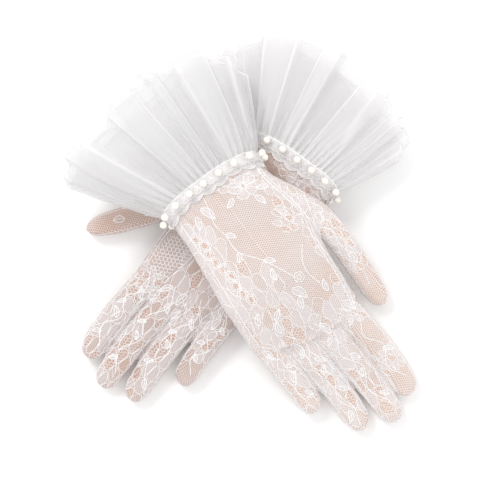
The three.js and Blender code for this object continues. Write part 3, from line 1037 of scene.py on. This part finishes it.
def sew_seams(side, piles, tree):
    """Seam threads down each finger, along both edges of the hand and round the thumb."""
    glove = GLOVES[side]
    for name, finger in glove["fingers"].items():
        root, _, tip_u, _, width = finger
        root_u = float(lut(WEB, root))
        shares = np.linspace(0.0, 0.93, 70)
        u = root_u + shares * (tip_u - root_u)
        floor = np.maximum(soft_lut(glove["floor"], u), glove["clip"] + 0.3)
        deep = lut(FINGER_DEPTH, shares) / 2
        for angle in (32, -32, 148, 212):
            a = math.radians(angle)
            v = centre_line(finger, shares) + width / 2 * swell(math.cos(a))
            w = floor + deep + deep * swell(math.sin(a))
            surface_seam(side, piles, tree, np.stack([u, v, w], -1), 0.2, name)
    for edge in (0, math.pi):
        u = np.linspace(8, 100, 110)
        surface_seam(side, piles, tree, hand_point(glove, u, np.full_like(u, edge), 0), 0.25)
    thumb = catmull([row[:3] for row in glove["thumb"]], 10)
    for lift in (4, -4):
        for out in (-1, 1):
            surface_seam(side, piles, tree, thumb[22:-8] + np.array([0, out * 6.5, lift]), 0.2, "thumb")


def glove_cloth(side, rng):
    glove = GLOVES[side]
    points, normals, polygons = glove_skin(side)
    points = wrinkles(side, points, normals)
    normals = vertex_normals(points, polygons)
    tree = BVHTree.FromPolygons([Vector(p) for p in points], polygons)
    drawing = right_lace(rng) if side == "right" else left_lace(rng)
    dense = cloth_density(side, drawing, points, normals)
    middles = np.array([points[list(p)].mean(0) for p in polygons])
    face_region = region_names(side, middles)
    depth = soft_lut(HAND_DEPTH, middles[:, 0])
    rise = (middles[:, 2] - soft_lut(glove["floor"], middles[:, 0]) - depth / 2) / (depth / 2)
    rise = np.sign(rise) * np.minimum(np.abs(rise), 1) ** (1 / SQUARENESS)
    wide = middles[:, 1] / 33
    mouth = glove["skew"] * wide + BAND_TILT * (1 - rise) / 2 - BAND_HALF + 1
    keep = middles[:, 0] > mouth
    uv = net_coordinates(side, points)
    row_points = to_row(side, points)
    matrix, _ = glove["place"]
    world_normals = normals @ matrix.T
    flip = np.linalg.det(matrix) < 0

    pieces = {}
    # the left glove's back gets the darker net, painted shade
    back_net = shaded_net if side == "left" else lace_net
    cad = {"back": "back_panel", "palm": "palm_panel", "thumb": "thumb"}
    for region in ("back", "palm", "thumb", *LANES):
        chosen = [polygons[k] for k in np.where((face_region == region) & keep)[0]]
        used = np.unique([i for p in chosen for i in p])
        place = -np.ones(len(points), int)
        place[used] = np.arange(len(used))
        faces = [tuple(place[list(p)][::-1] if flip else place[list(p)]) for p in chosen]
        name = f"{side}_{region}_" + ("net" if region in ("back", "palm") else "sleeve")
        obj = make_mesh(name, row_points[used], [tuple(int(i) for i in f) for f in faces])
        set_cloth_uv(obj.data, uv[used])
        set_value(obj.data, "dense", dense[used] if region != "palm" else 0 * dense[used])
        obj.data.normals_split_custom_set_from_vertices(world_normals[used].tolist())
        obj.data.materials.append(palm_net if region == "palm" else back_net)
        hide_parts(f"{side}_" + cad.get(region, region + "_finger"))
        pieces[region] = obj

    piles = lay_cords(side, drawing, tree)
    sew_seams(side, piles, tree)
    for region, pile in piles.items():
        if region not in pieces or not pile.verts:
            continue
        verts = to_row(side, np.vstack(pile.verts))
        faces = [f[::-1] for f in pile.faces] if flip else pile.faces
        cords = make_mesh(f"{side}_{region}_cords", verts, faces)
        cords.data.materials.append(cord_yarn)
        attach(cords, side, region)
        pieces[region + " cords"] = cords
    for region in ("back", "palm", "thumb", *LANES):
        attach(pieces[region], side, region)
    return pieces


def even_angles(glove, count, turns=1440):
    """Angles that step evenly round the wrist."""
    angle = np.linspace(0, 2 * np.pi, turns + 1)
    ring = hand_point(glove, band_offset(glove, angle), angle, -1)
    walk = np.concatenate([[0], np.cumsum(np.linalg.norm(np.diff(ring, axis=0), axis=1))])
    return np.interp(np.linspace(0, walk[-1], count, endpoint=False), walk, angle), walk[-1]


def grid_piece(side, name, grid, uv, dense, material, node_name):
    """One sheet from a grid whose columns go round the wrist."""
    grid, uv, dense = np.array(grid), np.array(uv), np.array(dense)
    rows, columns = grid.shape[:2]
    closed = np.concatenate([grid, grid[:, :1]], 1)
    uv = np.concatenate([uv, uv[:, :1] + [uv[0, -1, 0] - uv[0, 0, 0] + uv[0, 1, 0] - uv[0, 0, 0], 0]], 1)
    faces = ring_faces(rows, columns + 1, False)
    obj = make_mesh(name, to_row(side, closed.reshape(-1, 3)), faces)
    set_cloth_uv(obj.data, uv.reshape(-1, 2))
    dense = np.concatenate([dense, dense[:, :1]], 1)
    set_value(obj.data, "dense", dense.ravel())
    obj.data.materials.append(material)
    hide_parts(node_name)
    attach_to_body(obj, side + "_hand")
    return obj


def cord_piece(side, name, pile, material):
    obj = make_mesh(name, to_row(side, np.vstack(pile.verts)), pile.faces)
    obj.data.materials.append(material)
    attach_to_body(obj, side + "_hand")
    return obj


def band_line(glove, angle, x, lift):
    """Points round the wrist, x along the arm from the band's middle and lifted off the cloth."""
    return hand_point(glove, band_offset(glove, angle) + x, angle, -lift)


def outward(glove, angle):
    far = hand_point(glove, band_offset(glove, angle), angle, -4)
    near = hand_point(glove, band_offset(glove, angle), angle, -1)
    step = far - near
    return step / np.linalg.norm(step, axis=1)[:, None]


def wrist_band(side):
    glove = GLOVES[side]
    columns = 476
    angle, length = even_angles(glove, columns)
    share = np.arange(columns) / columns
    rows = np.linspace(-1, 1, 11)
    grid, uv, dense = [], [], []
    wave = 2 * math.pi * SCALLOPS * share
    picot = 0.45 * np.abs(np.sin(wave))
    for row in rows:
        x = row * (BAND_HALF * 0.82 + picot * (row < 0))
        dome = BAND_LIFT + 0.45 * (1 - row ** 2)
        grid.append(band_line(glove, angle, x, dome))
        uv.append(np.stack([share * length, np.full(columns, row * BAND_HALF)], -1))
        dense.append(0.45 + 0.35 * np.cos(wave) * (1 - abs(row)))
    band = grid_piece(side, side + "_band_tape", grid, uv, dense, tape_net, side + "_wrist_band")
    pile = CordPile()
    out = outward(glove, angle)
    for x, lift, radius in (
        (3.0 + 0.3 * np.sin(3 * wave), 1.75, 0.26), (-3.0, 1.75, 0.26), (2.2 * np.sin(wave), 2.05, 0.22),
        (-2.2 * np.sin(wave), 2.05, 0.22), (-BAND_TRIM - 0.4 * np.abs(np.sin(wave)), 1.5, 0.2),
    ):
        pile.hoop(band_line(glove, angle, x, lift), out, radius)
    cords = cord_piece(side, side + "_band_cords", pile, cord_yarn)
    return band, cords


def scallop_edging(side):
    glove = GLOVES[side]
    columns = SCALLOPS * 28
    angle, length = even_angles(glove, columns)
    share = np.arange(columns) / columns
    reach = 4.2 * (0.35 + 0.5 * np.abs(np.sin(math.pi * SCALLOPS * share)) ** 0.7
                   + 0.15 * np.sin(2 * math.pi * 5 * share))
    grid, uv, dense = [], [], []
    for row in np.linspace(0, 1, 8):
        x = BAND_TRIM + reach * row
        lift = 1.25 - 0.55 * row + 0.25 * np.sin(2 * math.pi * SCALLOPS * share) * row
        grid.append(band_line(glove, angle, x, lift))
        uv.append(np.stack([share * length, np.full(columns, x.mean())], -1))
        dense.append(np.full(columns, 0.15 + 0.4 * (row > 0.8)))
    edging = grid_piece(side, side + "_edging_lace", grid, uv, dense, tape_net,
                        side + "_scallop_edging")
    pile = CordPile()
    out = outward(glove, angle)
    for row, radius in ((1.0, 0.24), (0.66, 0.15)):
        pile.hoop(band_line(glove, angle, BAND_TRIM + reach * row, 1.35 - 0.5 * row), out, radius)
    for k in range(SCALLOPS):
        middle = int((k + 0.5) * columns / SCALLOPS)
        for x0, wide in ((1.5, 0.9), (0.6, 0.4)):
            eyelet = oval(wide, wide, 14)
            shift = np.round(eyelet[:, 0] / length * columns).astype(int)
            loop = band_line(glove, angle[(middle + shift) % columns], BAND_TRIM + x0 + eyelet[:, 1], 1.45)
            pile.add(tube(loop, np.repeat(out[middle][None], len(loop), 0), 0.15))
    cords = cord_piece(side, side + "_edging_cords", pile, cord_yarn)
    return edging, cords


def ruffle_layer(side, depth, seed, name, node_name):
    """A gathered skirt of tulle, flaring back from the wrist band."""
    glove = GLOVES[side]
    shape = glove["ruffle"]
    columns, rows = ((900, 36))
    angle, _ = even_angles(glove, columns)
    share = np.arange(columns) / columns
    cosine, sine = np.cos(angle), np.sin(angle)
    turn = 2 * math.pi * share
    rng = np.random.default_rng(seed)
    waves = rng.uniform(0, 2 * math.pi, 8)
    phase = (PLEATS * turn + 1.1 * np.sin(3 * turn + waves[0]) + 0.7 * np.sin(5 * turn + waves[1])
             + 0.5 * np.sin(8 * turn + waves[2]))
    strength = 0.8 + 0.3 * np.sin(4 * turn + waves[3]) + 0.15 * np.sin(9 * turn + waves[4])
    # the hem: where the layer ends, as u, v and w
    side_hem = np.where(cosine > 0, shape["thumb_hem"], shape["little_hem"])
    end_hem = np.where(sine > 0, shape["top_hem"], shape["under_hem"])
    wander = (2.4 * np.sin(3 * turn + 1) + 1.4 * np.sin(5 * turn + waves[5])
              + 0.9 * np.sin(11 * turn + waves[6]) - depth * 1.9)
    turned_up = np.where(cosine > 0, np.abs(sine) ** 0.8, np.minimum(1, (sine ** 2 + 0.03) ** 0.3))
    hem_u = side_hem + (end_hem - side_hem) * turned_up + wander
    reach = np.where(cosine > 0, shape["thumb"], -shape["little"])
    hem_v = (reach - depth) * swell(cosine)
    rise = ((1 + swell(sine)) / 2) ** (math.log(shape["share"]) / math.log(0.5))
    hem_w = shape["under"] + (shape["top"] - shape["under"]) * rise - depth * swell(sine)
    # the gathers at the band, and the rows from the band to the hem
    gather = GATHERS * turn + 2 * np.sin(3 * turn)
    base = hand_point(glove, band_offset(glove, angle), angle, -1.3 + depth * 0.4)
    mouth = base[:, 0] - BAND_TRIM
    grid, uv, dense = [], [], []
    for s in np.linspace(0, 1, rows):
        crest = np.cos(phase + 0.35 * math.sin(2.2 * s + waves[7]))
        pleat = 3.6 * s ** 0.8 * strength * np.tanh(2.2 * crest)
        pleat += 0.9 * s ** 0.6 * (1.1 - s) * np.sin(2.0 * phase + waves[1])
        pleat += 0.5 * math.exp(-((s - 0.1) / 0.22) ** 2) * np.cos(gather)
        pleat += 0.3 * math.exp(-(s / 0.14) ** 2) * np.cos(2 * GATHERS * turn)
        u = mouth + (hem_u - mouth) * s
        v = base[:, 1] + (hem_v - base[:, 1]) * s ** 0.85 + pleat * cosine
        w = base[:, 2] + (hem_w - base[:, 2]) * s + pleat * sine
        w = np.maximum(w, shape["rest"] + depth * 0.5 + 0.25 * s * np.abs(pleat))
        grid.append(np.stack([u, v, w], -1))
        uv.append(np.stack([share * TULLE_CUT[0], np.full(columns, s * TULLE_CUT[1])], -1))
        gathers = 0.35 * math.exp(-s / 0.22) * (0.5 + 0.5 * np.cos(gather))
        panel = 0.14 * (1 + np.tanh(4 * crest)) * strength
        edge = 0.5 * np.exp(-((crest - 0.35) / 0.12) ** 2) * (0.4 + 0.6 * s)
        dense.append(np.clip(panel + edge + gathers, 0, 1))
    dense[0], dense[-1] = np.full(columns, 0.8), np.full(columns, 0.7)
    layer = grid_piece(side, name, grid, uv, dense, tulle_net[side], node_name)
    pile = CordPile()
    pile.hoop(grid[-1], np.tile([0.0, 0.0, 1.0], (columns, 1)), 0.16)
    hem = cord_piece(side, name + "_hem", pile, seam_yarn)


def pearl_pieces(side):
    for name in sorted(frame["nodes"]):
        if not name.startswith(side + "_pearl"):
            continue
        low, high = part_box(name)
        centre, radius = (low + high) / 2, (high.x - low.x) / 2
        bpy.ops.mesh.primitive_uv_sphere_add(segments=32, ring_count=20, radius=radius, location=centre)
        pearl = bpy.context.object
        pearl.name = name.replace("pearl", "bead")
        pearl.data.shade_smooth()
        pearl.data.materials.append(pearl_lustre)
        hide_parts(name)
        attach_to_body(pearl, side + "_hand")


for number, side in enumerate(("left", "right")):
    GLOVES[side]["place"] = placement(side)
    rng = np.random.default_rng(40 + number)
    pieces = glove_cloth(side, rng)
    band, band_cords = wrist_band(side)
    trim = [band_cords, *scallop_edging(side)]
    ruffle_layer(side, 0.0, 7 + number, side + "_tulle_outer", side + "_ruffle_outer")
    ruffle_layer(side, INNER_LAYER, 17 + number, side + "_tulle_inner", side + "_ruffle_inner")
    pearl_pieces(side)

# ---------------------------------------------------------------- floor, light and camera
middle = (cad_low + cad_high) / 2
floor_material = new_material("floor", base_color=(0.93, 0.93, 0.93, 1), roughness=0.9)[0]
bpy.ops.mesh.primitive_plane_add(size=6, location=(0, 0, -0.0002))
floor = bpy.context.object
floor.name = "floor"
floor.data.materials.append(floor_material)

world = bpy.data.worlds.new("studio")
bpy.context.scene.world = world
world.use_nodes = True
background = world.node_tree.nodes["Background"]
background.inputs["Color"].default_value = (1, 1, 1, 1)
background.inputs["Strength"].default_value = 0.98


def area_light(name, place, size, power):
    data = bpy.data.lights.new(name, "AREA")
    data.shape = "DISK"
    data.size = size
    data.energy = power
    light = bpy.data.objects.new(name, data)
    light.location = place
    light.rotation_mode = "QUATERNION"
    light.rotation_quaternion = (Vector(place) - middle).to_track_quat("Z", "Y")
    bpy.context.scene.collection.objects.link(light)


area_light("key", (-0.7, 0.9, 1.3), 0.6, 11)
area_light("fill", (1.0, -0.4, 1.4), 1.0, 4)

camera_data = bpy.data.cameras.new("camera")
camera_data.lens = CAMERA_LENS
camera_data.sensor_width = 36
camera = bpy.data.objects.new("camera", camera_data)
bpy.context.scene.collection.objects.link(camera)
hand = Vector(GLOVES["right"]["place"][1]) * MM
camera.location = (hand.x + CAMERA_EAST, hand.y + CAMERA_NORTH, CAMERA_HEIGHT)
camera_data.clip_start = 0.05
camera_data.clip_end = 20
bpy.context.scene.camera = camera
bpy.context.scene.view_settings.view_transform = "Standard"
